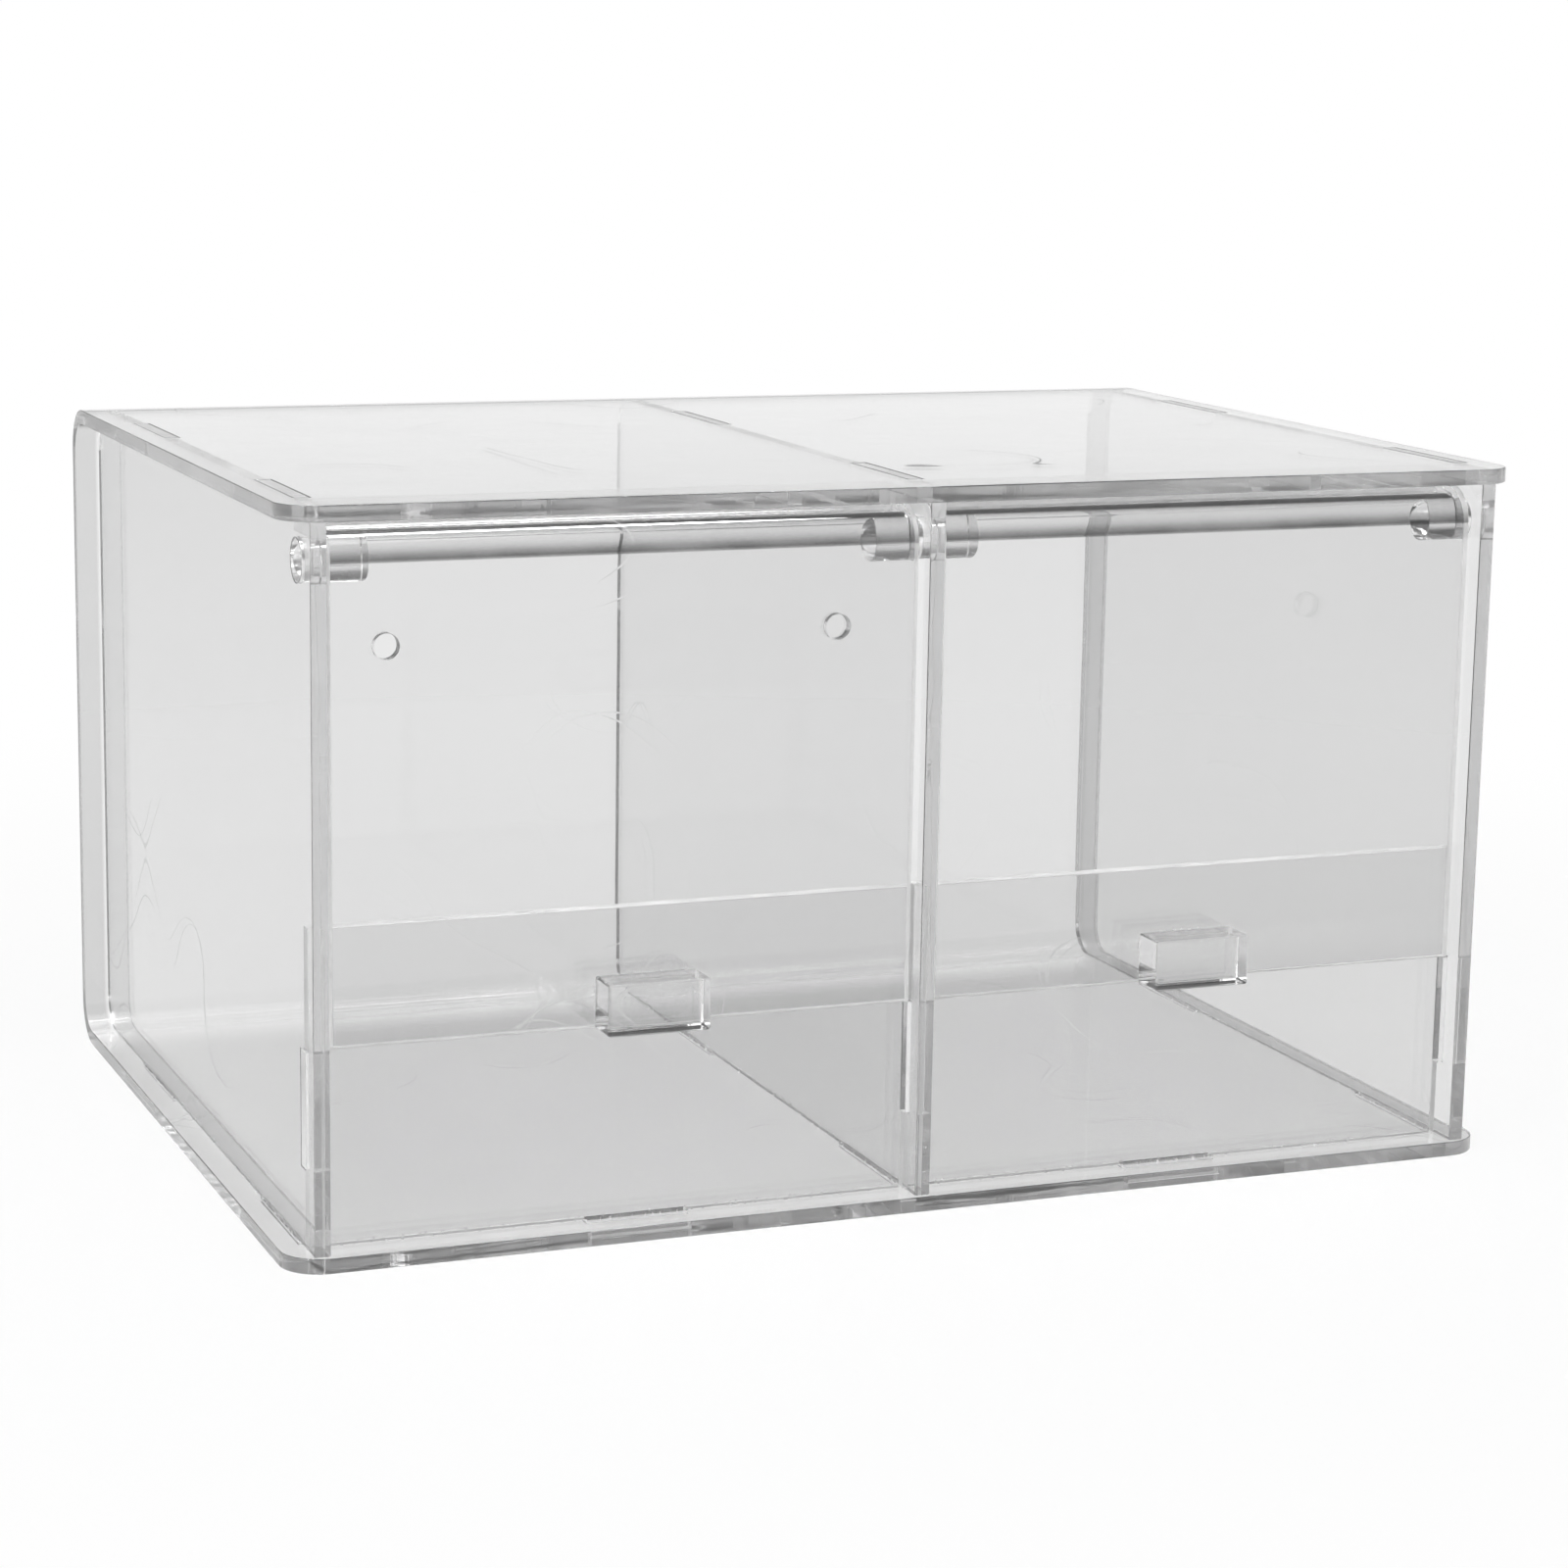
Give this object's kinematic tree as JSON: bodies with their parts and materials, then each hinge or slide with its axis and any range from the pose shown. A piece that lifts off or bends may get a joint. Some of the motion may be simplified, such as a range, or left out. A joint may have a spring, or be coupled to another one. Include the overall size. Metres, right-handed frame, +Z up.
{
  "type": "candy bin",
  "caption": "Clear acrylic counter bin with two side-by-side compartments, low fixed fronts and top-hung swinging doors with block knobs.",
  "frame": {"origin": "on the surface the bin stands on, under the middle of its bounding box, knobs included", "axes": "+X to the right as seen from the front, +Y to the back, +Z up; the doors face -Y"},
  "size_m": [0.25, 0.1844, 0.14],
  "materials": {
    "clear_sheet": "clear polished acrylic sheet",
    "clear_door": "clear polished acrylic sheet, bent hot",
    "clear_block": "clear acrylic block with cut edges",
    "clear_rod": "clear acrylic rod with cut ends"
  },
  "bodies": {
    "bin": {"shell": "clear_sheet", "left_side": "clear_sheet", "right_side": "clear_sheet", "divider": "clear_sheet", "left_lower_front": "clear_sheet", "right_lower_front": "clear_sheet", "left_peg": "clear_rod", "middle_peg": "clear_rod", "right_peg": "clear_rod"},
    "left_door": {"left_door": "clear_door", "left_knob": "clear_block"},
    "right_door": {"right_door": "clear_door", "right_knob": "clear_block"}
  },
  "joints": [
    {"name": "left_door_hinge", "type": "hinge", "parent": "bin", "child": "left_door", "pos_m": [-0.05925, -0.07715, 0.1291], "axis": [-1, 0, 0], "range_deg": [0, 92]},
    {"name": "right_door_hinge", "type": "hinge", "parent": "bin", "child": "right_door", "pos_m": [0.05925, -0.07715, 0.1291], "axis": [-1, 0, 0], "range_deg": [0, 92]}
  ]
}
